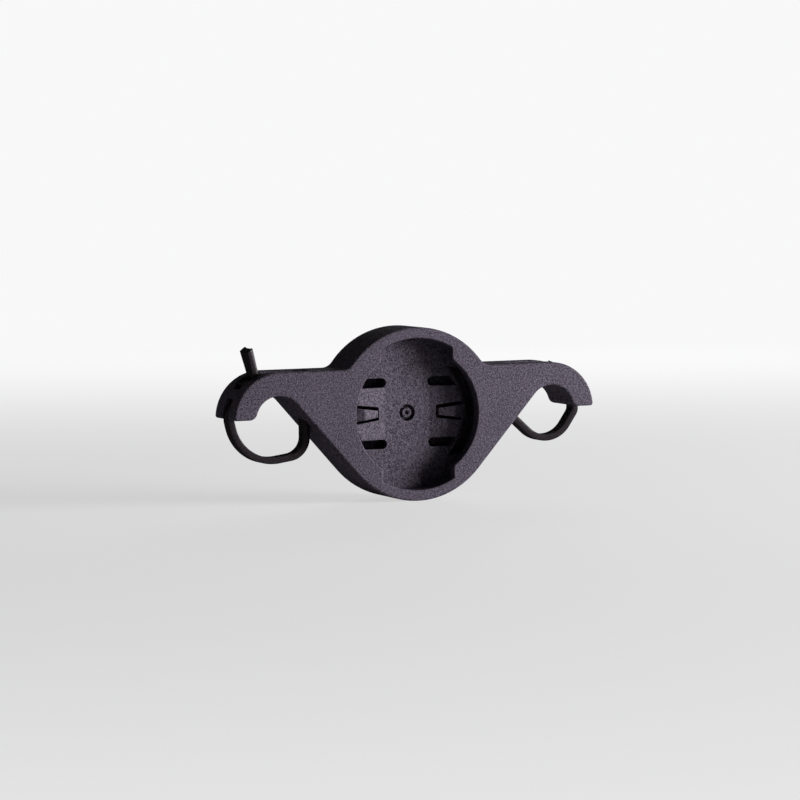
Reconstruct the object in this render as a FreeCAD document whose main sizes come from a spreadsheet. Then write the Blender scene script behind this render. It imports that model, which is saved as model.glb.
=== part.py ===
import FreeCAD, Part
import math
import os
import Sketcher

# Bracket for a bike light: a round quarter-turn socket with an arm on each side, each arm
# ending in an open hook with a round seat, where a cable tie straps the bracket on.
# The frame: origin on the socket's axis, on its front face. X runs along the arms, Y goes into
# the bracket's depth, away from the socket's open face, and Z is up. Lengths are in
# millimetres.

SIZES = {
    # the two round seats, and the rod that each one fits
    "rail_pitch": 44.0,
    "rail_d": 7.0,
    "rail_clear": 0.05,
    # the moulding as a whole
    "body_depth": 8.8,
    "edge_round": 0.3,
    "back_bevel": 0.2,
    "elbow_round": 2.0,
    # the socket's ring and its two lips
    "ring_radius": 13.0,
    "ring_wall": 1.6,
    "lip_w": 1.55,
    "lip_thick": 1.6,
    "keyway_w": 11.5,
    "keyway_round": 0.5,
    "rim_bevel": 0.12,
    # the socket's floor, and the openings that the lips' cores leave in it
    "floor_at": 4.3,
    "floor_thick": 1.2,
    "window_w": 2.05,
    "window_half_angle": 46.0,
    # the wall that closes the socket's back, in a shallow recess
    "back_wall": 1.0,
    "back_recess": 0.5,
    "back_rim": 0.4,
    # the slots that free the two floor tongues
    "slot_w": 1.45,
    "slot_height": 4.62,
    "slot_inner": 3.35,
    "tongue_hinge": 3.66,
    "tongue_rise": 0.83,
    "tongue_gap": 0.35,
    # the bridge past each tongue's end, and the detent finger that it carries
    "bridge_w": 0.4,
    "finger_inner": 4.95,
    "finger_inner_w": 1.0,
    "finger_outer_w": 2.15,
    "finger_inner_gap": 0.3,
    "finger_step": 0.3,
    "finger_fall": 1.65,
    "finger_peak": 1.25,
    "finger_root": 0.7,
    "finger_round": 0.8,
    "slit_w": 0.48,
    # the dimple round the moulding gate
    "gate_radius": 1.27,
    "gate_deep": 0.85,
    "nub_radius": 0.72,
    "nub_drop": 0.15,
    "nub_bore": 0.34,
    "nub_bore_deep": 0.4,
    # the hook at each arm's end
    "hook_radius": 7.0,
    "saddle_wall": 1.35,
    "tip_height": 0.15,
    "tip_outer_round": 0.4,
    "tip_inner_round": 1.2,
    # the tie's channel round the hook, and the bar that keeps the tie in it
    "channel_side_clear": 0.3,
    "channel_low_angle": 25.0,
    "channel_bevel": 0.15,
    "bar_thick": 0.75,
    "bar_low_angle": 29.0,
    "bar_high_angle": 41.0,
    # the core in each arm's back
    "core_w": 1.3,
    "core_wall": 1.65,
    "core_skin": 2.2,
    "core_round": 0.4,
    # the cable ties
    "strap_w": 2.4,
    "strap_thick": 1.0,
    "strap_clear": 0.05,
    "head_angle": 65.0,
    "head_long": 3.6,
    "head_w": 3.8,
    "head_clear": 0.2,
    "head_sunk": 0.3,
    "head_round": 0.3,
    "tail_lean": 14.5,
    "tail_shift": 0.3,
    "tail_cut_angle": 36.0,
    "loose_tail": 4.0,
    "snug_tail": 0.1,
    # the left tie's bends, to the middle of the strap, and where they lie about the seat's axis;
    # its outer side and its belly stand off the circle that the strap keeps on top of the hook
    "loose_side_out": 0.9,
    "loose_shoulder_bend": 2.8,
    "loose_shoulder_up": 0.15,
    "loose_belly_gap": 0.9,
    "loose_belly_out": -0.1,
    "loose_belly_up": 0.15,
    "loose_corner_bend": 3.0,
    "loose_corner_up": -2.9,
    # the right tie's bends, in the same way
    "snug_side_out": 0.0,
    "snug_shoulder_bend": 1.5,
    "snug_shoulder_up": -0.3,
    "snug_belly_gap": -1.15,
    "snug_belly_out": 0.5,
    "snug_belly_up": -0.4,
    "snug_corner_bend": 1.5,
    "snug_corner_up": -0.1,
}

# Lengths at or under which two places are the same, for exact and for computed geometry
TINY, NEAR = 1e-7, 1e-4
# How far a computed corner may lie from the edge that is looked for there
SLACK = 0.02
# How far a cut runs past the outside of the part
PAST = 3.0

document = FreeCAD.newDocument("BikeLightBracket")
sheet = document.addObject("Spreadsheet::Sheet", "Sizes")
for row, (alias, number) in enumerate(SIZES.items(), start=1):
    sheet.set("A%d" % row, alias)
    sheet.set("B%d" % row, str(number))
    sheet.setAlias("B%d" % row, alias)
document.recompute()

# Sizes that follow from the driving ones, as expressions on the sheet
S = "Sizes."
HALF_PITCH = S + "rail_pitch / 2"
SEAT = "(%srail_d / 2 + %srail_clear)" % (S, S)
CAVITY = "(%sring_radius - %sring_wall)" % (S, S)
LIP = "(%s - %slip_w)" % (CAVITY, S)
FLOOR_EDGE = "(%s - %swindow_w)" % (CAVITY, S)
BRIDGE = "(%s - %sbridge_w)" % (FLOOR_EDGE, S)
TONGUE_END = "(%s - %stongue_gap)" % (BRIDGE, S)
TONGUE_GAP = "((%s + %s) / 2)" % (TONGUE_END, BRIDGE)
FINGER_CREST = "(%s - %sfinger_fall)" % (BRIDGE, S)
FLOOR_BACK = "(%sfloor_at + %sfloor_thick)" % (S, S)
MIDDLE = S + "body_depth / 2"
CHANNEL = "(%s + %ssaddle_wall)" % (SEAT, S)
CHANNEL_W = "(%sstrap_w + 2 * %schannel_side_clear)" % (S, S)
STRAP_TOP = "(%s + %sstrap_clear + %sstrap_thick / 2)" % (CHANNEL, S, S)
SLOT_OUT = "(%s + %sstrap_thick / 2 + 2 * %sstrap_clear)" % (STRAP_TOP, S, S)
BAR_INNER = "(%shook_radius - %sbar_thick)" % (S, S)
TONGUE_HALF = "(%sslot_height - %sslot_w / 2)" % (S, S)
SLOT_TOP = "(%sslot_height + %sslot_w / 2)" % (S, S)
TONGUE_SLOPE = "(%stongue_rise / (%s - %stongue_hinge))" % (S, TONGUE_END, S)
ARM_ANGLE = "acos((%sring_radius + %s) / (%s))" % (S, SEAT, HALF_PITCH)
CORE_SIDE = "(%sring_radius + %score_w)" % (S, S)
CORE_UNDER = "(%sring_radius - %score_wall)" % (S, S)
HEAD_FOOT = "(%s + %sstrap_clear)" % (CHANNEL, S)
HEAD_TOP = "(%shook_radius - %shead_sunk)" % (S, S)


def measure(expression):
    """The number that an expression on the sheet has now."""
    number = sheet.evalExpression(str(expression))
    return float(getattr(number, "Value", number))


def origin_plane(body, role):
    return next(plane for plane in body.Origin.OriginFeatures if plane.Role == role)


def new_body(name):
    body = document.addObject("PartDesign::Body", name)
    body.Label = name
    return body


def new_sketch(body, name, plane="XZ_Plane", depth="0"):
    """A sketch on a plane of the body, moved by depth along +Y (XZ), +Z (XY) or +X (YZ)."""
    sketch = body.newObject("Sketcher::SketchObject", name)
    sketch.AttachmentSupport = (origin_plane(body, plane), [""])
    sketch.MapMode = "FlatFace"
    if depth != "0":
        sign = "-" if plane == "XZ_Plane" else ""
        sketch.setExpression("AttachmentOffset.Base.z", "%s(%s)" % (sign, depth))
    return sketch


def bind(sketch, kind, *parts):
    """A dimension whose value is an expression on the sheet, given last."""
    expression = parts[-1]
    index = sketch.addConstraint(Sketcher.Constraint(kind, *parts[:-1], measure(expression)))
    sketch.setExpression("Constraints[%d]" % index, expression)


def pin(sketch, geometry, end, across=None, up=None):
    """Hold a point at its distances from the sketch's axes; either may be left free."""
    for axis, kind, expression in ((-2, "DistanceX", across), (-1, "DistanceY", up)):
        if expression is None:
            continue
        if abs(measure(expression)) < TINY:
            sketch.addConstraint(Sketcher.Constraint("PointOnObject", geometry, end, axis))
        else:
            bind(sketch, kind, -1, 1, geometry, end, expression)


def point(across, up):
    return FreeCAD.Vector(measure(across), measure(up), 0)


def join(sketch, first, second, kind="Coincident"):
    """Tie the ends of two curves that meet."""
    for last in (1, 2):
        for start in (1, 2):
            gap = sketch.getPoint(first, last) - sketch.getPoint(second, start)
            if gap.Length < NEAR:
                sketch.addConstraint(Sketcher.Constraint(kind, first, last, second, start))
                return
    raise ValueError("curves %d and %d of %s don't meet" % (first, second, sketch.Name))


def circle(sketch, radius, across="0", up="0"):
    shape = Part.Circle(point(across, up), FreeCAD.Vector(0, 0, 1), measure(radius))
    index = sketch.addGeometry(shape)
    pin(sketch, index, 3, across, up)
    bind(sketch, "Radius", index, radius)


def outline(sketch, corners, arcs=None):
    """A closed outline through corners given as pairs of expressions.
    arcs maps the number of a corner to (across, up, radius, turn): the side that starts there is
    an arc about that centre, with turn 1 for anticlockwise and -1 for clockwise."""
    arcs = arcs or {}
    places = [point(*corner) for corner in corners]
    sides = []
    for number, start in enumerate(places):
        end = places[(number + 1) % len(places)]
        if number in arcs:
            across, up, radius, turn = arcs[number]
            centre = point(across, up)
            first, last = (start, end) if turn > 0 else (end, start)
            angles = [math.atan2(p.y - centre.y, p.x - centre.x) for p in (first, last)]
            if angles[1] <= angles[0]:
                angles[1] += 2 * math.pi
            round_side = Part.Circle(centre, FreeCAD.Vector(0, 0, 1), measure(radius))
            sides.append(sketch.addGeometry(Part.ArcOfCircle(round_side, *angles)))
        else:
            sides.append(sketch.addGeometry(Part.LineSegment(start, end)))
    for number, side in enumerate(sides):
        join(sketch, side, sides[(number + 1) % len(sides)])
    for number, (across, up, radius, turn) in arcs.items():
        pin(sketch, sides[number], 3, across, up)
        bind(sketch, "Radius", sides[number], radius)
    for number, corner in enumerate(corners):
        before = (number - 1) % len(corners)
        touching = [arcs[side] for side in (before, number) if side in arcs]
        if len(touching) == 2:
            continue
        side = sides[number]
        end = next(e for e in (1, 2) if (sketch.getPoint(side, e) - places[number]).Length < NEAR)
        if not touching:
            pin(sketch, side, end, *corner)
            continue
        arm = places[number] - point(*touching[0][:2])
        if abs(arm.x) >= abs(arm.y):
            pin(sketch, side, end, up=corner[1])
        else:
            pin(sketch, side, end, across=corner[0])
    return sides


def add(body, kind, name, sketch, length, inward=True, symmetric=False):
    """A pad or a pocket of a sketch; inward goes along +Y from a sketch on the XZ plane."""
    before = 0.0 if body.Tip is None else body.Tip.Shape.Volume
    feature = body.newObject("PartDesign::" + kind, name)
    feature.Profile = sketch
    feature.setExpression("Length", length)
    if symmetric:
        feature.SideType = "Symmetric"
    else:
        feature.Reversed = inward == (kind == "Pad")
    body.Tip = feature
    document.recompute()
    change = feature.Shape.Volume - before
    if (change <= TINY) if kind == "Pad" else (change >= -TINY):
        raise RuntimeError(name + " changes nothing")
    return feature


def mirror(body, name, features, plane="YZ_Plane"):
    feature = body.newObject("PartDesign::Mirrored", name)
    feature.Originals = features
    feature.MirrorPlane = (origin_plane(body, plane), [""])
    body.Tip = feature
    document.recompute()
    return feature


def edges_of(feature, wanted):
    return ["Edge%d" % (n + 1) for n, edge in enumerate(feature.Shape.Edges) if wanted(edge)]


def runs_deep(edge, across, up):
    """Is this a straight edge along Y through the given place?"""
    ends = [vertex.Point for vertex in edge.Vertexes]
    if len(ends) != 2 or abs(ends[0].y - ends[1].y) < TINY:
        return False
    return all(math.hypot(abs(p.x) - across, abs(p.z) - up) < SLACK for p in ends)


def lies_at(edge, depth):
    box = edge.BoundBox
    return abs(box.YMin - depth) < NEAR and abs(box.YMax - depth) < NEAR


def soften(body, name, edges, size, kind="Fillet"):
    """Round the edges to a radius, or bevel them with kind Chamfer."""
    if not edges:
        raise RuntimeError(name + " finds no edge")
    base = body.Tip
    feature = body.newObject("PartDesign::" + kind, name)
    feature.Base = (base, edges)
    feature.setExpression("Radius" if kind == "Fillet" else "Size", size)
    body.Tip = feature
    document.recompute()


def arm_sketch(body):
    """The right arm. Its top is level with the hook's top, and its underside is one straight line
    that touches the ring below and the seat above, so the hook opens down and inward."""
    sketch = new_sketch(body, "arm_outline")
    half, seat, hook = measure(HALF_PITCH), measure(SEAT), measure(S + "hook_radius")
    ring, tip = measure(S + "ring_radius"), measure(S + "tip_height")
    slope = math.radians(measure(ARM_ANGLE))
    centre = FreeCAD.Vector(half, 0, 0)
    up = FreeCAD.Vector(0, 0, 1)
    tip_outer = FreeCAD.Vector(half + math.sqrt(hook ** 2 - tip ** 2), tip, 0)
    tip_inner = FreeCAD.Vector(half + math.sqrt(seat ** 2 - tip ** 2), tip, 0)
    seat_end = centre + FreeCAD.Vector(-seat * math.cos(slope), seat * math.sin(slope), 0)
    ring_touch = FreeCAD.Vector(ring * math.cos(slope), -ring * math.sin(slope), 0)
    hook_start, seat_start = math.asin(tip / hook), math.asin(tip / seat)
    line, arc = Part.LineSegment, Part.ArcOfCircle
    top = sketch.addGeometry(line(FreeCAD.Vector(0, hook, 0), FreeCAD.Vector(half, hook, 0)))
    back = sketch.addGeometry(arc(Part.Circle(centre, up, hook), hook_start, math.pi / 2))
    end = sketch.addGeometry(line(tip_outer, tip_inner))
    rest = sketch.addGeometry(arc(Part.Circle(centre, up, seat), seat_start, math.pi - slope))
    under = sketch.addGeometry(line(seat_end, ring_touch))
    spoke = sketch.addGeometry(line(ring_touch, FreeCAD.Vector(0, 0, 0)))
    root = sketch.addGeometry(line(FreeCAD.Vector(0, 0, 0), FreeCAD.Vector(0, hook, 0)))
    join(sketch, top, back, "Tangent")
    join(sketch, back, end)
    join(sketch, end, rest)
    join(sketch, rest, under, "Tangent")
    join(sketch, under, spoke)
    join(sketch, spoke, root)
    join(sketch, root, top)
    for kind, parts in (("Coincident", (spoke, 2, -1, 1)), ("Coincident", (back, 3, rest, 3)),
                        ("PointOnObject", (back, 3, -1)), ("Vertical", (root,)),
                        ("Horizontal", (top,)), ("Horizontal", (end,)),
                        ("Perpendicular", (spoke, under))):
        sketch.addConstraint(Sketcher.Constraint(kind, *parts))
    bind(sketch, "DistanceX", -1, 1, back, 3, HALF_PITCH)
    bind(sketch, "Radius", back, S + "hook_radius")
    bind(sketch, "Radius", rest, SEAT)
    bind(sketch, "DistanceY", -1, 1, end, 1, S + "tip_height")
    bind(sketch, "Distance", spoke, S + "ring_radius")
    return sketch


def bracket_blank(body):
    """Ring, arms and hooks at full depth, with their rounded outer edges."""
    ring = new_sketch(body, "ring_outline")
    circle(ring, S + "ring_radius")
    add(body, "Pad", "ring", ring, S + "body_depth")
    arm = add(body, "Pad", "arm", arm_sketch(body), S + "body_depth")
    arms = mirror(body, "arms", [arm])
    elbow = math.sqrt(measure(S + "ring_radius") ** 2 - measure(S + "hook_radius") ** 2)
    edges = edges_of(arms, lambda e: runs_deep(e, elbow, measure(S + "hook_radius")))
    soften(body, "elbows", edges, S + "elbow_round")
    tip = measure(S + "tip_height")
    for name, radius in (("tip_outer", S + "hook_radius"), ("tip_inner", SEAT)):
        across = measure(HALF_PITCH) + math.sqrt(measure(radius) ** 2 - tip ** 2)
        edges = edges_of(body.Tip, lambda e: runs_deep(e, across, tip))
        soften(body, name, edges, S + name + "_round")
    edges = edges_of(body.Tip, lambda e: lies_at(e, 0.0))
    soften(body, "front_edges", edges, S + "edge_round")
    edges = edges_of(body.Tip, lambda e: lies_at(e, measure(S + "body_depth")))
    soften(body, "back_edges", edges, S + "back_bevel", "Chamfer")


def keyway_corners():
    half = "(%skeyway_w / 2)" % S
    rise = "sqrt(%s ^ 2 - %s ^ 2)" % (CAVITY, half)
    return half, rise


def socket(body):
    """The bore between the lips, the two keyways, the undercut behind the lips, and behind the
    floor the room that the tongues move into, closed by a thin back wall."""
    bore = new_sketch(body, "bore_outline")
    circle(bore, LIP)
    add(body, "Pocket", "bore", bore, S + "floor_at")
    half, rise = keyway_corners()
    keyways = new_sketch(body, "keyway_outline")
    corners = [("-" + half, "-" + rise), (half, "-" + rise), (half, rise), ("-" + half, rise)]
    round_side = ("0", "0", CAVITY, 1)
    outline(keyways, corners, {0: round_side, 2: round_side})
    add(body, "Pocket", "keyways", keyways, S + "floor_at")
    across, up = measure(half), measure(rise)
    lip_up = math.sqrt(measure(LIP) ** 2 - across ** 2)
    edges = edges_of(body.Tip, lambda e: runs_deep(e, across, up) or runs_deep(e, across, lip_up))
    soften(body, "keyway_corners", edges, S + "keyway_round")
    inside = measure(CAVITY) + SLACK
    edges = edges_of(body.Tip, lambda e: lies_at(e, 0.0)
                     and all(math.hypot(v.X, v.Z) < inside for v in e.Vertexes))
    soften(body, "rim", edges, S + "rim_bevel", "Chamfer")
    undercut = new_sketch(body, "undercut_outline", depth=S + "lip_thick")
    circle(undercut, CAVITY)
    add(body, "Pocket", "undercut", undercut, "%sfloor_at - %slip_thick" % (S, S))
    room = new_sketch(body, "room_outline", depth=FLOOR_BACK)
    circle(room, CAVITY)
    wall_front = "(%sbody_depth - %sback_recess - %sback_wall)" % (S, S, S)
    add(body, "Pocket", "room", room, "%s - %s" % (wall_front, FLOOR_BACK))
    recess = new_sketch(body, "recess_outline", depth="%sbody_depth - %sback_recess" % (S, S))
    circle(recess, "%s - %sback_rim" % (CAVITY, S))
    add(body, "Pocket", "recess", recess, S + "back_recess")


def tongues(body):
    """Each side of the floor is a tongue that rises outward, on a hinge beside the centre."""
    rise = "(%s * (%s - %stongue_hinge))" % (TONGUE_SLOPE, TONGUE_GAP, S)
    hinge = S + "tongue_hinge"
    for name, kind, level in (("tongue", "Pad", S + "floor_at"),
                              ("tongue_back", "Pocket", FLOOR_BACK)):
        profile = new_sketch(body, name + "_profile", plane="XY_Plane")
        corners = [(hinge, level), (TONGUE_GAP, level), (TONGUE_GAP, "%s - %s" % (level, rise))]
        outline(profile, corners)
        wedge = add(body, kind, name, profile, "2 * " + TONGUE_HALF, symmetric=True)
        mirror(body, name + "s", [wedge])


def round_band(sketch, inner, outer, top):
    """The right side of a band round the socket's axis, between the levels -top and top."""
    near, far = ("sqrt(%s ^ 2 - %s ^ 2)" % (radius, top) for radius in (inner, outer))
    corners = [(far, "-" + top), (far, top), (near, top), (near, "-" + top)]
    outline(sketch, corners, {0: ("0", "0", outer, 1), 2: ("0", "0", inner, -1)})


def windows(body):
    """The opening in the floor under each lip, where the lip's core was drawn out."""
    angle = S + "window_half_angle"
    cut = new_sketch(body, "window_outline", depth=S + "lip_thick")
    round_band(cut, FLOOR_EDGE, CAVITY, "(%s * sin(%s))" % (FLOOR_EDGE, angle))
    window = add(body, "Pocket", "window", cut, "%s - %slip_thick" % (FLOOR_BACK, S))
    mirror(body, "windows", [window])


def bridges(body):
    """Two slots and a gap round its end free each tongue. The bridge past the gap is level with
    the floor, and as thick."""
    top = SLOT_TOP
    span = "%s - %slip_thick" % (FLOOR_BACK, S)
    slots = new_sketch(body, "slot_outline", depth=S + "lip_thick")
    radius = S + "slot_w / 2"
    inner_end = "(%sslot_inner + %s)" % (S, radius)
    reaches = ["sqrt(%s ^ 2 - %s ^ 2)" % (TONGUE_GAP, up) for up in (TONGUE_HALF, top)]
    corners = [(inner_end, top), (inner_end, TONGUE_HALF), (reaches[0], TONGUE_HALF),
               (reaches[1], top)]
    outline(slots, corners, {0: (inner_end, S + "slot_height", radius, 1)})
    corners = [(across, "-" + up) for across, up in corners]
    outline(slots, corners, {0: (inner_end, "-" + S + "slot_height", radius, -1)})
    slot = add(body, "Pocket", "slot", slots, span)
    end = new_sketch(body, "tongue_gap_outline", depth=S + "lip_thick")
    round_band(end, TONGUE_END, BRIDGE, top)
    gap = add(body, "Pocket", "tongue_gap", end, span)
    over = new_sketch(body, "bridge_top_outline", depth=S + "lip_thick")
    round_band(over, BRIDGE, FLOOR_EDGE, top)
    level = add(body, "Pocket", "bridge_top", over, "%sfloor_at - %slip_thick" % (S, S))
    band = new_sketch(body, "bridge_outline", depth=S + "floor_at")
    round_band(band, BRIDGE, FLOOR_EDGE, top)
    bridge = add(body, "Pad", "bridge", band, S + "floor_thick")
    mirror(body, "bridges", [slot, gap, level, bridge])


def fingers(body):
    """The detent finger in each tongue: it stands on the bridge, climbs to a rounded crest and
    falls again to its free inner end. A slit parts it from the tongue all round."""
    inner, outer = S + "finger_inner", "(%s + %sbridge_w / 2)" % (BRIDGE, S)
    foot, tip = "(%sfinger_inner_w / 2)" % S, "(%sfinger_outer_w / 2)" % S
    flare = "((%s - %s) / (%s - %s))" % (tip, foot, outer, inner)
    start = "(%s - %sfinger_inner_gap)" % (inner, S)
    near = "(%s + %sslit_w)" % (foot, S)
    far = "(%s + %s * (%s - %s) + %sslit_w)" % (foot, flare, TONGUE_GAP, inner, S)
    gap = new_sketch(body, "slit_outline", depth=S + "lip_thick")
    outline(gap, [(start, "-" + near), (TONGUE_GAP, "-" + far), (TONGUE_GAP, far), (start, near)])
    slits = add(body, "Pocket", "slit", gap, "%s - %slip_thick" % (FLOOR_BACK, S))
    mirror(body, "slits", [slits])
    back = "(%s - %s * (%s - %stongue_hinge))"
    surface = back % (S + "floor_at", TONGUE_SLOPE, inner, S)
    crest = "%sfloor_at - %sfinger_peak" % (S, S)
    levels = {
        inner: ("%s - %sfinger_step" % (surface, S), back % (FLOOR_BACK, TONGUE_SLOPE, inner, S)),
        FINGER_CREST: (crest, back % (FLOOR_BACK, TONGUE_SLOPE, FINGER_CREST, S)),
        outer: ("%sfloor_at - %sfinger_root" % (S, S), FLOOR_BACK),
    }
    sections = []
    for number, (across, (front, under)) in enumerate(levels.items()):
        half = "(%s + %s * (%s - %s))" % (foot, flare, across, inner)
        section = new_sketch(body, "finger_section_%d" % number, plane="YZ_Plane", depth=across)
        outline(section, [(front, "-" + half), (under, "-" + half), (under, half), (front, half)])
        sections.append(section)
    finger = body.newObject("PartDesign::AdditiveLoft", "finger")
    finger.Profile = sections[0]
    finger.Sections = sections[1:]
    finger.Ruled = True
    body.Tip = finger
    document.recompute()
    both = mirror(body, "fingers", [finger])
    place, level = measure(FINGER_CREST), measure(crest)
    edges = edges_of(both, lambda e: all(abs(abs(v.X) - place) < SLACK
                                         and abs(v.Y - level) < SLACK for v in e.Vertexes))
    soften(body, "finger_crests", edges, S + "finger_round")


def gate(body):
    """The dimple in the middle of the floor, with the nub that the moulding gate leaves."""
    profile = new_sketch(body, "gate_profile", plane="XY_Plane")
    floor = S + "floor_at"
    deep = "%s + %sgate_deep" % (floor, S)
    nub = "%s + %snub_drop" % (floor, S)
    bore = "%s + %snub_drop + %snub_bore_deep" % (floor, S, S)
    outline(profile, [("0", floor), (S + "gate_radius", floor), (S + "gate_radius", deep),
                      (S + "nub_radius", deep), (S + "nub_radius", nub), (S + "nub_bore", nub),
                      (S + "nub_bore", bore), ("0", bore)])
    groove = body.newObject("PartDesign::Groove", "gate")
    groove.Profile = profile
    groove.ReferenceAxis = (profile, ["V_Axis"])
    body.Tip = groove
    document.recompute()


def polar(radius, angle, aside=None):
    """A place at a radius and an angle about the right seat's axis, and aside from that line."""
    across = "%s + %s * cos(%s)" % (HALF_PITCH, radius, angle)
    up = "%s * sin(%s)" % (radius, angle)
    if aside:
        across += " - %s * sin(%s)" % (aside, angle)
        up += " + %s * cos(%s)" % (aside, angle)
    return across, up


def channels(body):
    """Round each hook the tie has a channel: open on top, down through the arm on the inboard
    side, under a bar on the outboard side, and open again to the hook's tip."""
    far = "(%shook_radius + %s)" % (S, PAST)
    low, high = S + "bar_low_angle", S + "bar_high_angle"
    tip_side, tip_level = polar(CHANNEL, "-%schannel_low_angle" % S)
    seat_side = "%s - %s" % (HALF_PITCH, CHANNEL)
    ring_side = "%s - %s" % (HALF_PITCH, SLOT_OUT)
    corners = [(tip_side, tip_level), (seat_side, "0"), (seat_side, "-" + far),
               (ring_side, "-" + far), (ring_side, far), (polar(far, high)[0], far),
               polar(far, high), polar(BAR_INNER, high), polar(BAR_INNER, low), polar(far, low),
               (polar(far, low)[0], tip_level)]
    path = new_sketch(body, "channel_outline", depth=MIDDLE)
    outline(path, corners, {0: (HALF_PITCH, "0", CHANNEL, 1), 7: (HALF_PITCH, "0", BAR_INNER, -1)})
    channel = add(body, "Pocket", "channel", path, CHANNEL_W, symmetric=True)
    mirror(body, "channels", [channel])
    half = "(%shead_long / 2 + %shead_clear)" % (S, S)
    seat = new_sketch(body, "head_seat_outline", depth=MIDDLE)
    outline(seat, [polar(radius, S + "head_angle", aside) for radius, aside in
                   ((CHANNEL, half), (far, half), (far, "-1 * " + half), (CHANNEL, "-1 * " + half))])
    width = "%shead_w + 2 * %shead_clear" % (S, S)
    head_seat = add(body, "Pocket", "head_seat", seat, width, symmetric=True)
    seats = mirror(body, "head_seats", [head_seat])
    walls = [measure("%s %s %s / 2" % (MIDDLE, sign, CHANNEL_W)) for sign in "+-"]
    hook = measure(S + "hook_radius")
    edges = edges_of(seats, lambda e: any(lies_at(e, wall) for wall in walls)
                     and abs(getattr(e.Curve, "Radius", 0.0) - hook) < NEAR)
    soften(body, "channel_edges", edges, S + "channel_bevel", "Chamfer")


def arm_cores(body):
    """The pocket in each arm's back that keeps the moulding's walls even."""
    ring, top = S + "ring_radius", "(%shook_radius - %score_wall)" % (S, S)
    turn = "(acos(%s / %s) - %s)" % (CORE_UNDER, ring, ARM_ANGLE)
    foot = "(%s * cos(%s) - %s) / sin(%s)" % (CORE_SIDE, ARM_ANGLE, CORE_UNDER, ARM_ANGLE)
    corners = [("sqrt(%s ^ 2 - %s ^ 2)" % (ring, top), top), (CORE_SIDE, top), (CORE_SIDE, foot),
               ("%s * cos(%s)" % (ring, turn), "%s * sin(%s)" % (ring, turn))]
    core = new_sketch(body, "core_outline", depth=S + "core_skin")
    outline(core, corners, {3: ("0", "0", ring, 1)})
    pocket = add(body, "Pocket", "arm_core", core, "%sbody_depth - %score_skin" % (S, S))
    both = mirror(body, "arm_cores", [pocket])
    places = [(measure(across), measure(up)) for across, up in corners]
    edges = edges_of(both, lambda e: any(runs_deep(e, *place) for place in places))
    soften(body, "arm_core_corners", edges, S + "core_round")


def belt(sketch, circles):
    """A closed strap edge round circles given anticlockwise: an arc on each, and a line that
    touches it and the next one."""
    centres = [point(across, up) for across, up, radius in circles]
    radii = [measure(radius) for across, up, radius in circles]
    turns = []
    for number, centre in enumerate(centres):
        onward = (number + 1) % len(circles)
        step = centres[onward] - centre
        lean = math.acos((radii[number] - radii[onward]) / step.Length)
        turns.append(math.atan2(step.y, step.x) - lean)
    curves = []
    for number, centre in enumerate(centres):
        onward = (number + 1) % len(circles)
        start, end = turns[number - 1], turns[number]
        while end < start:
            end += 2 * math.pi
        while end - start > 2 * math.pi:
            end -= 2 * math.pi
        round_part = Part.Circle(centre, FreeCAD.Vector(0, 0, 1), radii[number])
        curves.append(sketch.addGeometry(Part.ArcOfCircle(round_part, start, end)))
        away = FreeCAD.Vector(math.cos(end), math.sin(end), 0)
        line = Part.LineSegment(centre + away * radii[number], centres[onward] + away * radii[onward])
        curves.append(sketch.addGeometry(line))
    for number, curve in enumerate(curves):
        join(sketch, curve, curves[(number + 1) % len(curves)], "Tangent")
    for number, (across, up, radius) in enumerate(circles):
        pin(sketch, curves[2 * number], 3, across, up)
        bind(sketch, "Radius", curves[2 * number], radius)


def slanted(foot, angle, length, aside):
    """A place at a length along a line at an angle from a foot, and aside from it, clockwise."""
    across = "%s + %s * cos(%s) + %s * sin(%s)" % (foot[0], length, angle, aside, angle)
    up = "%s + %s * sin(%s) - %s * cos(%s)" % (foot[1], length, angle, aside, angle)
    return across, up


def tie_strap(body, side, size):
    """The closed loop: the same arc on top of both hooks, then bends of its own."""
    shoulder_bend, corner_bend = size + "shoulder_bend", size + "corner_bend"
    top = ("0", "0", STRAP_TOP)
    shoulder = ("%d * (%s + %sside_out - %s)" % (side, STRAP_TOP, size, shoulder_bend),
                size + "shoulder_up", shoulder_bend)
    belly = ("%d * %sbelly_out" % (side, size), size + "belly_up",
             "%s + %sbelly_gap" % (STRAP_TOP, size))
    corner = ("%d * (%s - %s)" % (side, corner_bend, STRAP_TOP), size + "corner_up", corner_bend)
    circles = [top, corner, belly, shoulder] if side > 0 else [top, shoulder, belly, corner]
    strap = new_sketch(body, body.Label + "_strap_outline")
    for sign in "+-":
        belt(strap, [(across, up, "%s %s %sstrap_thick / 2" % (radius, sign, S))
                     for across, up, radius in circles])
    add(body, "Pad", body.Label + "_strap", strap, S + "strap_w", symmetric=True)


def tie_head(body, turn):
    """The head, a block that stands on the strap at the given angle about the seat's axis."""
    half = "%shead_long / 2" % S
    corners = [slanted(("0", "0"), turn, length, aside) for length, aside in
               ((HEAD_FOOT, "-1 * " + half), (HEAD_FOOT, half), (HEAD_TOP, half),
                (HEAD_TOP, "-1 * " + half))]
    head = new_sketch(body, body.Label + "_head_outline")
    outline(head, corners)
    block = add(body, "Pad", body.Label + "_head", head, S + "head_w", symmetric=True)
    places = [(abs(measure(across)), abs(measure(up))) for across, up in corners[2:]]
    edges = edges_of(block, lambda e: any(runs_deep(e, *place) for place in places))
    soften(body, body.Label + "_head_corners", edges, S + "head_round")


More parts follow.
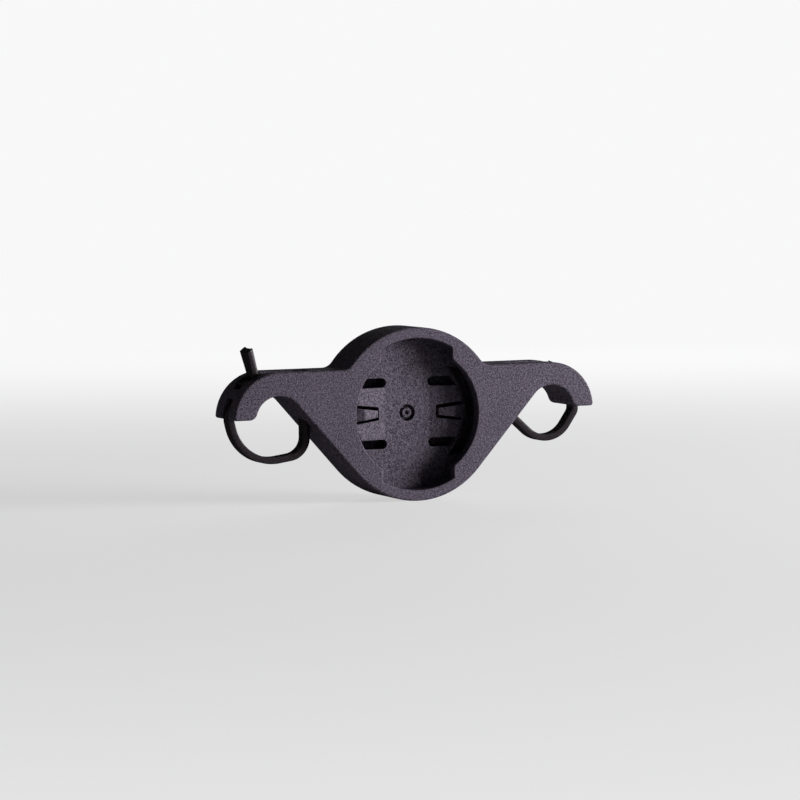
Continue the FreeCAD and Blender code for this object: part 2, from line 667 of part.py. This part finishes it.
def tie_tail(body, side, size, turn):
    """The strap's end beyond the head, leaning outboard, with its slanting cut. It starts at the
    head's middle."""
    foot = slanted(("0", "0"), turn, "(%s + %s) / 2" % (HEAD_FOOT, HEAD_TOP),
                   "%d * %stail_shift" % (-side, S))
    short_side = "((%s - %s) / 2 + %stail)" % (HEAD_TOP, HEAD_FOOT, size)
    lean = "(90 - %d * %stail_lean)" % (side, S)
    slant = "tan(%stail_cut_angle - %stail_lean)" % (S, S)
    long_side = "(%s + %sstrap_thick * %s)" % (short_side, S, slant)
    outboard, inboard = ("%d * %sstrap_thick / 2" % (way, S) for way in (side, -side))
    corners = [slanted(foot, lean, length, aside) for length, aside in
               (("0", inboard), ("0", outboard), (short_side, outboard), (long_side, inboard))]
    tail = new_sketch(body, body.Label + "_tail_outline")
    outline(tail, corners)
    add(body, "Pad", body.Label + "_tail", tail, S + "strap_w", symmetric=True)


def cable_tie(name, side, wrap):
    """A cable tie in the frame of its seat, outboard on the given side of X. Its strap lies in the
    hook's channel, and its head holds the strap's end, which stands up as the cut tail."""
    body = new_body(name)
    size = S + wrap + "_"
    turn = "(90 - %d * (90 - %shead_angle))" % (side, S)
    tie_strap(body, side, size)
    tie_head(body, turn)
    tie_tail(body, side, size, turn)
    body.setExpression("Placement.Base.x", "%d * %s" % (side, HALF_PITCH))
    body.setExpression("Placement.Base.y", MIDDLE)
    return body


def bracket_body():
    body = new_body("bracket_body")
    bracket_blank(body)
    socket(body)
    tongues(body)
    windows(body)
    bridges(body)
    fingers(body)
    gate(body)
    channels(body)
    arm_cores(body)
    return body


pieces = [bracket_body(), cable_tie("cable_tie_left", -1, "loose"),
          cable_tie("cable_tie_right", 1, "snug")]
document.recompute()
for item in document.Objects:
    if "Invalid" in item.State or "Error" in item.State:
        raise RuntimeError("%s failed: %s" % (item.Name, item.State))
os.makedirs("parts", exist_ok=True)
for piece in pieces:
    if piece.Shape.isNull() or not piece.Shape.isValid() or len(piece.Shape.Solids) != 1:
        raise RuntimeError(piece.Label + " isn't one valid solid")
    piece.Shape.exportStep("parts/%s.step" % piece.Label)
    print(piece.Label, "%.1f mm3" % piece.Shape.Volume)
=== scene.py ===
"""A bracket for a bike light: a black moulding with two cable ties, on a pale floor.

Lengths are in millimetres until MM turns them into the frame's metres. The frame is the CAD's:
the origin is on the socket's front face, X runs along the arms, Y goes back and Z is up.
"""

import math

import bmesh
import bpy
from mathutils import Euler, Matrix, Vector


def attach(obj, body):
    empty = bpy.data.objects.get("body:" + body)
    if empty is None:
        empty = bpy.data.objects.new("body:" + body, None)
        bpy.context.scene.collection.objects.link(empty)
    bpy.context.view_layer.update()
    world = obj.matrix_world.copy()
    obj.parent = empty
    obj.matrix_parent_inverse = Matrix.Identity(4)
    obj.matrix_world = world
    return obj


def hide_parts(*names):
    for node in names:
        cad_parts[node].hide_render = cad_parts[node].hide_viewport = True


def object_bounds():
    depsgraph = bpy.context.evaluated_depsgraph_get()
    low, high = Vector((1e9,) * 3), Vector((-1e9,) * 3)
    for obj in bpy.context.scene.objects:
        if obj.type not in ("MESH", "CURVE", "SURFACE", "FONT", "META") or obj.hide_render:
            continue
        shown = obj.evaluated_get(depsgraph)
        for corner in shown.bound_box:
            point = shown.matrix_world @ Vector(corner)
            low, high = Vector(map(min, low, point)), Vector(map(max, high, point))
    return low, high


MM = 0.001

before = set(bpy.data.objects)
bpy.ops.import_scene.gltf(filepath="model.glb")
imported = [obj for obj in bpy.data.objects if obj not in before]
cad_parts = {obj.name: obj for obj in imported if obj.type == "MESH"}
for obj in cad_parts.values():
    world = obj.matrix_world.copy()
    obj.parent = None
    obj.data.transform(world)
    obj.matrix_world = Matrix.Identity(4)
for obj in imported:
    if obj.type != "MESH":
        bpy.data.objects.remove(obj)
cad_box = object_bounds()

# The faint plain reflection of both nylons
SHEEN_TINT = (1.0, 0.95, 0.98, 1.0)


class Signal:
    """A node's output, so that shader maths reads as plain expressions."""

    def __init__(self, finish, socket):
        self.finish, self.socket = finish, socket

    def maths(self, operation, first, second):
        return self.finish.node("ShaderNodeMath", {"operation": operation}, {0: first, 1: second})

    def __add__(self, other):
        return self.maths("ADD", self, other)

    def __radd__(self, other):
        return self.maths("ADD", other, self)

    def __sub__(self, other):
        return self.maths("SUBTRACT", self, other)

    def __rsub__(self, other):
        return self.maths("SUBTRACT", other, self)

    def __mul__(self, other):
        return self.maths("MULTIPLY", self, other)

    def __rmul__(self, other):
        return self.maths("MULTIPLY", other, self)

    def larger(self, other):
        """The larger of two signals."""
        return self.maths("MAXIMUM", self, other)


class Finish:
    """The nodes of one material, or of the world. Every node comes from node(): its settings
    first, then its sockets."""

    def __init__(self, owner):
        self.owner = owner
        owner.use_nodes = True
        self.tree = owner.node_tree
        self.tree.nodes.clear()

    def node(self, kind, settings=None, sockets=None, output=0):
        node = self.tree.nodes.new(kind)
        for key, setting in (settings or {}).items():
            if key == "stops":
                ramp = node.color_ramp
                while len(ramp.elements) < len(setting):
                    ramp.elements.new(1.0)
                for element, (place, colour) in zip(ramp.elements, setting):
                    element.position, element.color = place, colour
            else:
                setattr(node, key, setting)
        for key, content in (sockets or {}).items():
            if isinstance(content, Signal):
                self.tree.links.new(content.socket, node.inputs[key])
            else:
                node.inputs[key].default_value = content
        return Signal(self, node.outputs[output]) if node.outputs else None

    def places(self):
        """Places on the part in its own frame, in metres."""
        return self.node("ShaderNodeTexCoord", output="Object")

    def noise(self, places, size, detail, stretch=None):
        """Noise from about 0 to 1 whose features are about size millimetres across."""
        if stretch:
            places = self.node("ShaderNodeVectorMath", {"operation": "MULTIPLY"},
                               {0: places, 1: stretch})
        return self.node("ShaderNodeTexNoise", None, {
            "Vector": places, "Scale": 1.0 / (size * MM), "Detail": detail})

    def rise(self, signal, start, full):
        """0 up to where a signal starts to show, then evenly up to 1 where it shows in full."""
        black, white = (0.0, 0.0, 0.0, 1.0), (1.0, 1.0, 1.0, 1.0)
        return self.node("ShaderNodeValToRGB", {"stops": [(start, black), (full, white)]},
                         {"Fac": signal})

    def blend(self, factor, first, second):
        """From the first colour to the second one as the factor goes from 0 to 1."""
        return self.node("ShaderNodeMix", {"data_type": "RGBA"},
                         {"Factor": factor, 6: first, 7: second}, output=2)

    def edge_line(self, soft_edges):
        """0 on a face, and more at its edge, where the softened normal leaves the true one."""
        true = self.node("ShaderNodeNewGeometry", output="Normal")
        facing = self.node("ShaderNodeVectorMath", {"operation": "DOT_PRODUCT"},
                           {0: soft_edges, 1: true}, output="Value")
        return 1.0 - facing

    def with_sheen(self, body, share, roughness, bumps):
        """Lay a small share of plain reflection over a body that has none of its own: it is the
        same from the front as at a glancing angle, so the black sides stay black."""
        sheen = self.node("ShaderNodeBsdfPrincipled", None, {
            "Base Color": SHEEN_TINT, "Metallic": 1.0, "Roughness": roughness, "Normal": bumps})
        return self.node("ShaderNodeMixShader", None, {0: share, 1: body, 2: sheen})

    def seen_white(self):
        """1 for rays that see the backdrop as plain white, and 0 for those that light things."""
        camera, glossy, through = [self.node("ShaderNodeLightPath", output=f"Is {kind} Ray")
                                   for kind in ("Camera", "Glossy", "Transmission")]
        return camera.larger(glossy).larger(through)

    def done(self, shader, kind="ShaderNodeOutputMaterial"):
        """Put the shader on the surface, and give the material or the world back."""
        self.node(kind, None, {"Surface": shader})
        return self.owner


# The moulding's nylon, in linear colours; sizes and depths are in millimetres
MOULDING_DARK, MOULDING_LIGHT = (0.014, 0.012, 0.016, 1.0), (0.115, 0.096, 0.132, 1.0)
# The paler colour that the edges get is a painted highlight, where they would catch the light
MOULDING_EDGE_HIGHLIGHT = (0.15, 0.13, 0.165, 1.0)
PIT, GRAIN, CLOUD, SPECK = 0.15, 0.34, 6.0, 0.2
PIT_SHARE, PIT_DEEP, PIT_RELIEF, EDGE_SOFT = 0.65, 0.03, 0.55, 0.13
# Where each one starts to show, and where it shows in full
PITS_SHOW, SPECKS_SHOW, EDGE_HIGHLIGHT_SHOW = (0.41, 0.61), (0.64, 0.76), (0.02, 0.22)
# The lightness with no grain, and what each layer adds to it
PLAIN, PITS_ADD, CLOUD_ADDS, SPECKS_ADD = 0.05, 0.65, 0.2, 1.3
# A pair here is a level, and what the grain adds to it
MOULDING_ROUGH, MOULDING_SHEEN, MOULDING_SHEEN_ROUGH = (0.5, 0.16), (0.0015, 0.0075), 0.42

# The ties' nylon, in the same way; its streaks are finer along Y, across the strap
TIE_DARK, TIE_LIGHT = (0.004, 0.003, 0.004, 1.0), (0.034, 0.027, 0.031, 1.0)
TIE_SKIN, TIE_STREAK, STREAK_STRETCH = 0.35, 0.4, (1.0, 4.0, 1.0)
SKIN_DEEP, SKIN_RELIEF = 0.02, 0.3
TIE_ROUGH, TIE_SHEEN, TIE_SHEEN_ROUGH = (0.34, 0.18), (0.001, 0.005), 0.2


def lifted(pair, grain):
    """A level, and what the grain adds to it."""
    level, more = pair
    return level + more * grain


def moulded_nylon():
    """Black nylon from a spark-eroded mould: a fine pitted grain, slightly purple in the light."""
    finish = Finish(bpy.data.materials.new("moulded_nylon"))
    places = finish.places()
    pits = finish.noise(places, PIT, detail=1.0)
    grain = finish.noise(places, GRAIN, detail=1.0)
    cloud = finish.noise(places, CLOUD, detail=1.0)
    tone = finish.rise(PIT_SHARE * pits + (1.0 - PIT_SHARE) * grain, *PITS_SHOW)
    specks = finish.rise(finish.noise(places, SPECK, detail=0.0), *SPECKS_SHOW)
    lightness = PLAIN + PITS_ADD * tone + CLOUD_ADDS * cloud + SPECKS_ADD * specks
    shade = finish.blend(lightness, MOULDING_DARK, MOULDING_LIGHT)
    soft_edges = finish.node("ShaderNodeBevel", {"samples": 6}, {"Radius": EDGE_SOFT * MM})
    # Painted highlight: the edges are painted paler, as if they caught the light
    painted_edge_highlight = finish.rise(finish.edge_line(soft_edges), *EDGE_HIGHLIGHT_SHOW)
    shade = finish.blend(painted_edge_highlight, shade, MOULDING_EDGE_HIGHLIGHT)
    bumps = finish.node("ShaderNodeBump", None, {
        "Strength": PIT_RELIEF, "Distance": PIT_DEEP * MM, "Height": tone, "Normal": soft_edges})
    body = finish.node("ShaderNodeBsdfPrincipled", None, {
        "Base Color": shade, "Roughness": lifted(MOULDING_ROUGH, tone),
        "Specular IOR Level": 0.0, "Normal": bumps})
    sheen = lifted(MOULDING_SHEEN, tone)
    return finish.done(finish.with_sheen(body, sheen, MOULDING_SHEEN_ROUGH, bumps))


def tie_nylon():
    """The ties' black nylon: smoother than the moulding, with faint streaks along the strap."""
    finish = Finish(bpy.data.materials.new("tie_nylon"))
    places = finish.places()
    skin = finish.noise(places, TIE_SKIN, detail=2.0)
    streaks = finish.noise(places, TIE_STREAK, detail=1.0, stretch=STREAK_STRETCH)
    mottle = 0.5 * skin + 0.5 * streaks
    bumps = finish.node("ShaderNodeBump", None, {
        "Strength": SKIN_RELIEF, "Distance": SKIN_DEEP * MM, "Height": mottle})
    body = finish.node("ShaderNodeBsdfPrincipled", None, {
        "Base Color": finish.blend(mottle, TIE_DARK, TIE_LIGHT),
        "Roughness": lifted(TIE_ROUGH, skin), "Specular IOR Level": 0.0, "Normal": bumps})
    sheen = lifted(TIE_SHEEN, skin)
    return finish.done(finish.with_sheen(body, sheen, TIE_SHEEN_ROUGH, bumps))


# The backdrop's white, and the faint light that the surroundings give
BACKDROP, FILL = (0.94, 0.94, 0.945, 1.0), 0.015
# The floor's paper, and the size of its fibres in millimetres
PAPER_DARK, PAPER_LIGHT, FIBRE = (0.80, 0.80, 0.805, 1.0), (0.84, 0.84, 0.845, 1.0), 1.5
# In metres from the part. The backdrop's share of the floor is WHITE_NEAR up to NEAR, and all
# of it from FAR
FLOOR_REACH, FLOOR_SIDES, NEAR, FAR, WHITE_NEAR = 4.0, 72, 0.08, 0.45, 0.62
# Each lamp's place and width in millimetres, and its watts; all of them face LAMPS_FACE
LAMPS_FACE = (0, 4, 0)
LAMPS = {
    "key": ((315, -280, 40), 130, 1.7),
    "side": ((380, -190, 30), 130, 2.8),
    "back": ((240, 420, 110), 260, 1.3),
}
# The picture's camera, in millimetres and degrees: it faces +Y, turns right, tips down and rolls
CAMERA_PLACE = (-192.43, -464.63, 36.66)
CAMERA_TURN, CAMERA_TIP, CAMERA_ROLL = 22.195, 3.922, -0.884
CAMERA_LENS, CAMERA_SENSOR = 151.9, 36.0
# How near the camera sees, in metres
CAMERA_NEAR = 0.01


def link(thing):
    """Put an object into the scene."""
    bpy.context.scene.collection.objects.link(thing)
    return thing


def floor_paper():
    """Pale paper that runs out into the backdrop's white away from the part."""
    finish = Finish(bpy.data.materials.new("studio_floor"))
    places = finish.places()
    away = finish.node("ShaderNodeVectorMath", {"operation": "LENGTH"}, {0: places}, output="Value")
    fibres = finish.noise(places, FIBRE, detail=3.0)
    paper = finish.node("ShaderNodeBsdfDiffuse", None, {
        "Color": finish.blend(fibres, PAPER_DARK, PAPER_LIGHT)})
    white = finish.node("ShaderNodeEmission", None, {"Color": BACKDROP})
    fade = finish.node("ShaderNodeMapRange", {"interpolation_type": "SMOOTHSTEP"},
                       {"Value": away, "From Min": NEAR, "From Max": FAR})
    share = (WHITE_NEAR + (1.0 - WHITE_NEAR) * fade) * finish.seen_white()
    return finish.done(finish.node("ShaderNodeMixShader", None, {0: share, 1: paper, 2: white}))


def studio_floor():
    """A round floor at the height of the part's lowest point."""
    lowest = cad_box[0][2]
    turns = [2 * math.pi * side / FLOOR_SIDES for side in range(FLOOR_SIDES)]
    corners = [(FLOOR_REACH * math.cos(a), FLOOR_REACH * math.sin(a), lowest) for a in turns]
    mesh = bpy.data.meshes.new("floor")
    mesh.from_pydata(corners, [], [list(range(FLOOR_SIDES))])
    mesh.materials.append(floor_paper())
    floor = link(bpy.data.objects.new("floor", mesh))


def surroundings():
    """White to look at and in reflections, with a faint light of its own."""
    finish = Finish(bpy.data.worlds.new("studio_world"))
    fill = finish.node("ShaderNodeBackground", None, {
        "Color": (1.0, 1.0, 1.0, 1.0), "Strength": FILL})
    white = finish.node("ShaderNodeBackground", None, {"Color": BACKDROP})
    seen = finish.node("ShaderNodeMixShader", None, {0: finish.seen_white(), 1: fill, 2: white})
    bpy.context.scene.world = finish.done(seen, "ShaderNodeOutputWorld")


def lamp(name, place, width, watts):
    """A square soft box that faces the part."""
    light = bpy.data.lights.new(name, "AREA")
    light.shape = "SQUARE"
    light.size = width * MM
    light.energy = watts
    box = link(bpy.data.objects.new(name, light))
    box.visible_camera = False
    box.location = Vector(place) * MM
    facing = Vector(LAMPS_FACE) - Vector(place)
    box.rotation_euler = facing.to_track_quat("-Z", "Y").to_euler()


def picture_camera():
    """The camera of the picture, and plain colours."""
    lens = bpy.data.cameras.new("picture_camera")
    lens.sensor_width, lens.lens, lens.clip_start = CAMERA_SENSOR, CAMERA_LENS, CAMERA_NEAR
    camera = link(bpy.data.objects.new("picture_camera", lens))
    aim = Euler((math.radians(90 - CAMERA_TIP), 0, math.radians(-CAMERA_TURN))).to_matrix()
    aim = aim @ Matrix.Rotation(math.radians(CAMERA_ROLL), 3, "Z")
    camera.matrix_world = Matrix.Translation(Vector(CAMERA_PLACE) * MM) @ aim.to_4x4()
    bpy.context.scene.camera = camera
    bpy.context.scene.view_settings.view_transform = "Standard"


def dress(node, material):
    """Give a node of the frame its finish."""
    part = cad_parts[node]
    part.data.materials.clear()
    part.data.materials.append(material)


# The ties, in the frame of their own seat: X outboard for the right one, and Z up. Heights in
# the head are over the seat's axis, and angles are in degrees
SEAT_X, MIDDLE_Y = 22.0, 4.4
STRAP_W, STRAP_THICK, STRAP_ROUND, STEP = 2.4, 1.0, 0.16, 0.15
TEETH_W, TOOTH_PITCH, TOOTH_DEEP, TOOTH_RAMP, TOOTH_SIDE = 1.4, 0.9, 0.2, 0.72, 0.05
HEAD_LONG, HEAD_W, HEAD_FOOT, HEAD_TOP, HEAD_ROUND = 3.6, 3.8, 4.95, 6.7, 0.3
MOUTH_LONG, MOUTH_W, MOUTH_DEEP, MOUTH_ROUND = 1.42, 2.6, 0.75, 0.1
PAWL_CLEAR, PAWL_ROOT_SUNK, PAWL_TIP_SUNK = 0.08, 0.28, 0.5
HEAD_TURN, TAIL_LEAN, TAIL_SHIFT, TAIL_HIDDEN = 25.0, 14.5, 0.3, 0.9
TAIL_CUT, TAIL_SKEW, TWIST_RUN = 21.5, 0.12, 1.0
# Faces that meet at more than this angle keep a sharp edge between them
SHARP = 38.0
# Each tie's side, its tail's length and twist, and the (across, up, radius) circles it goes round
WRAPS = {
    "left": {"side": -1, "tail": 4.875, "twist": 11.0, "circles": [
        (0.0, 0.0, 5.45), (-3.55, 0.15, 2.8), (0.1, 0.15, 6.35), (2.45, -2.9, 3.0)]},
    "right": {"side": 1, "tail": 0.975, "twist": 3.0, "circles": [
        (0.0, 0.0, 5.45), (-3.95, -0.1, 1.5), (0.5, -0.4, 4.3), (3.95, -0.3, 1.5)]},
}


def heading(angle):
    """The direction at an angle from X towards Z."""
    return Vector((math.cos(angle), 0.0, math.sin(angle)))


def sideways(across):
    """A step across the strap."""
    return Vector((0.0, across, 0.0))


def belt(circles):
    """The closed line that hugs circles given anticlockwise, as (place, outward) pairs."""
    centres = [Vector((across, 0.0, up)) for across, up, radius in circles]
    radii = [radius for across, up, radius in circles]
    turns = []
    for number, centre in enumerate(centres):
        onward = (number + 1) % len(circles)
        run = centres[onward] - centre
        lean = math.acos((radii[number] - radii[onward]) / run.length)
        turns.append(math.atan2(run.z, run.x) - lean)
    line = []
    for number, centre in enumerate(centres):
        onward = (number + 1) % len(circles)
        start, end = turns[number - 1], turns[number]
        sweep = (end - start) % (2 * math.pi)
        cuts = max(2, round(sweep * radii[number] / STEP))
        for cut in range(cuts + 1):
            out = heading(start + sweep * cut / cuts)
            line.append((centre + out * radii[number], out))
        foot, out = line[-1]
        goal = centres[onward] + out * radii[onward]
        cuts = max(1, round((goal - foot).length / STEP))
        line.extend((foot.lerp(goal, cut / cuts), out) for cut in range(1, cuts))
    return line


def strap_section(tooth):
    """The strap's section as (along the width, outward) pairs: rounded edges, and on the inner
    face a band of teeth cut to the given depth between two smooth borders."""
    wide, thick, soft, band = STRAP_W / 2, STRAP_THICK / 2, STRAP_ROUND, TEETH_W / 2
    # the middle of a rounded edge lies this far in from both of its faces
    near = 0.3 * soft
    edge = [(wide, thick - soft), (wide - near, thick - near), (wide - soft, thick)]
    outer = edge + [(-across, out) for across, out in reversed(edge)]
    inner = [(across, -out) for across, out in reversed(outer)]
    cut, foot = tooth - thick, band - TOOTH_SIDE
    teeth = [(-band, -thick), (-foot, cut), (foot, cut), (band, -thick)]
    return outer + inner[:3] + teeth + inner[3:]


def tooth_at(length):
    """How deep the teeth are cut at a length along the strap: a long ramp, then a short one."""
    phase = (length / TOOTH_PITCH) % 1.0
    share = phase / TOOTH_RAMP if phase < TOOTH_RAMP else (1.0 - phase) / (1.0 - TOOTH_RAMP)
    return TOOTH_DEEP * share


def walls(shape, first, second):
    """Faces between two rings of as many corners."""
    for number in range(len(first)):
        after = (number + 1) % len(first)
        shape.faces.new((first[number], first[after], second[after], second[number]))


def cover(shape, rings, closed):
    """Faces between rings of corners, and over the ends of an open run."""
    for first, second in zip(rings, rings[1:]):
        walls(shape, first, second)
    if closed:
        walls(shape, rings[-1], rings[0])
    else:
        shape.faces.new(rings[0][::-1])
        shape.faces.new(rings[-1])


def add_strap(shape, circles):
    """The strap's closed loop, with its teeth measured out along the way."""
    rings, length, last = [], 0.0, None
    for place, out in belt(circles):
        length += (place - last).length if last else 0.0
        last = place
        rings.append([shape.verts.new(place + out * high + sideways(across))
                      for across, high in strap_section(tooth_at(length))])
    cover(shape, rings, closed=True)


def add_tail(shape, wrap, foot):
    """The strap's cut end, which starts a little below foot, inside the head. Its teeth face
    inboard, and it is slightly twisted."""
    side, tail = wrap["side"], wrap["tail"]
    lean = math.radians(90 - side * TAIL_LEAN)
    up, out = heading(lean), heading(lean - side * math.pi / 2)
    slope = math.tan(math.radians(TAIL_CUT))
    stations = [STEP * n - TAIL_HIDDEN for n in range(int((TAIL_HIDDEN + tail) / STEP))]
    rings = []
    for reach in stations + [tail]:
        twist = math.radians(wrap["twist"]) * max(0.0, reach) / max(tail, TWIST_RUN)
        turn = Matrix.Rotation(twist, 3, up)
        ring = []
        for across, high in strap_section(tooth_at(reach)):
            place = foot + turn @ (out * high + sideways(across)) + up * reach
            if reach == tail:
                place += up * ((STRAP_THICK / 2 - high) * slope + across * TAIL_SKEW)
            ring.append(shape.verts.new(place))
        rings.append(ring)
    cover(shape, rings, closed=False)


def add_head(shape, side, up, along, mouth_at):
    """The head: a rounded block round a mouth that the tail stands in, with its pawl."""

    def corner(length, across, height):
        return shape.verts.new(up * height + along * length + sideways(across))

    def rectangle(low, high, half, height):
        return [corner(low, -half, height), corner(high, -half, height),
                corner(high, half, height), corner(low, half, height)]

    long, wide, mouth_floor = HEAD_LONG / 2, HEAD_W / 2, HEAD_TOP - MOUTH_DEEP
    foot = rectangle(-long, long, wide, HEAD_FOOT)
    top = rectangle(-long, long, wide, HEAD_TOP)
    low, high = mouth_at - MOUTH_LONG / 2, mouth_at + MOUTH_LONG / 2
    lip = rectangle(low, high, MOUTH_W / 2, HEAD_TOP)
    well = rectangle(low, high, MOUTH_W / 2, mouth_floor)
    shape.faces.new(foot[::-1])
    shape.faces.new(well)
    for first, second in ((foot, top), (top, lip), (lip, well)):
        walls(shape, first, second)
    block = set(foot + top)
    outside = [edge for edge in shape.edges if set(edge.verts) <= block]
    rim = [edge for edge in shape.edges if set(edge.verts) <= set(lip)]
    bmesh.ops.bevel(shape, geom=outside, offset=HEAD_ROUND, segments=4, profile=0.5,
                    affect="EDGES")
    rim = [edge for edge in rim if edge.is_valid]
    bmesh.ops.bevel(shape, geom=rim, offset=MOUTH_ROUND, segments=2, profile=0.5,
                    affect="EDGES")

    wall = mouth_at - side * MOUTH_LONG / 2
    tip = mouth_at - side * (STRAP_THICK / 2 - TOOTH_DEEP / 2)
    half = TEETH_W / 2 - PAWL_CLEAR
    pawl = ((wall, HEAD_TOP - PAWL_ROOT_SUNK), (tip, HEAD_TOP - PAWL_TIP_SUNK),
            (tip, mouth_floor), (wall, mouth_floor))
    ends = [[corner(length, across, height) for length, height in pawl]
            for across in (-half, half)]
    cover(shape, ends, closed=False)


def cable_tie(name, wrap, material):
    """One tie as a single mesh, in place of its plain solid."""
    side = wrap["side"]
    turn, mouth_at = math.radians(90 - side * HEAD_TURN), -side * TAIL_SHIFT
    up, along = heading(turn), heading(turn - math.pi / 2)
    shape = bmesh.new()
    add_head(shape, side, up, along, mouth_at)
    add_strap(shape, wrap["circles"])
    add_tail(shape, wrap, up * (HEAD_FOOT + HEAD_TOP) / 2 + along * mouth_at)
    bmesh.ops.recalc_face_normals(shape, faces=shape.faces)
    bmesh.ops.translate(shape, verts=shape.verts, vec=Vector((side * SEAT_X, MIDDLE_Y, 0.0)))
    bmesh.ops.scale(shape, verts=shape.verts, vec=Vector((MM, MM, MM)))
    mesh = bpy.data.meshes.new(name)
    shape.to_mesh(mesh)
    shape.free()
    mesh.polygons.foreach_set("use_smooth", [True] * len(mesh.polygons))
    mesh.set_sharp_from_angle(angle=math.radians(SHARP))
    mesh.materials.append(material)
    tie = link(bpy.data.objects.new(name, mesh))
    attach(tie, "root")
    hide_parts("cable_" + name)


studio_floor()
surroundings()
for name, (place, width, watts) in LAMPS.items():
    lamp(name, place, width, watts)
picture_camera()
dress("bracket_body", moulded_nylon())
nylon = tie_nylon()
for name, wrap in WRAPS.items():
    cable_tie("tie_" + name, wrap, nylon)
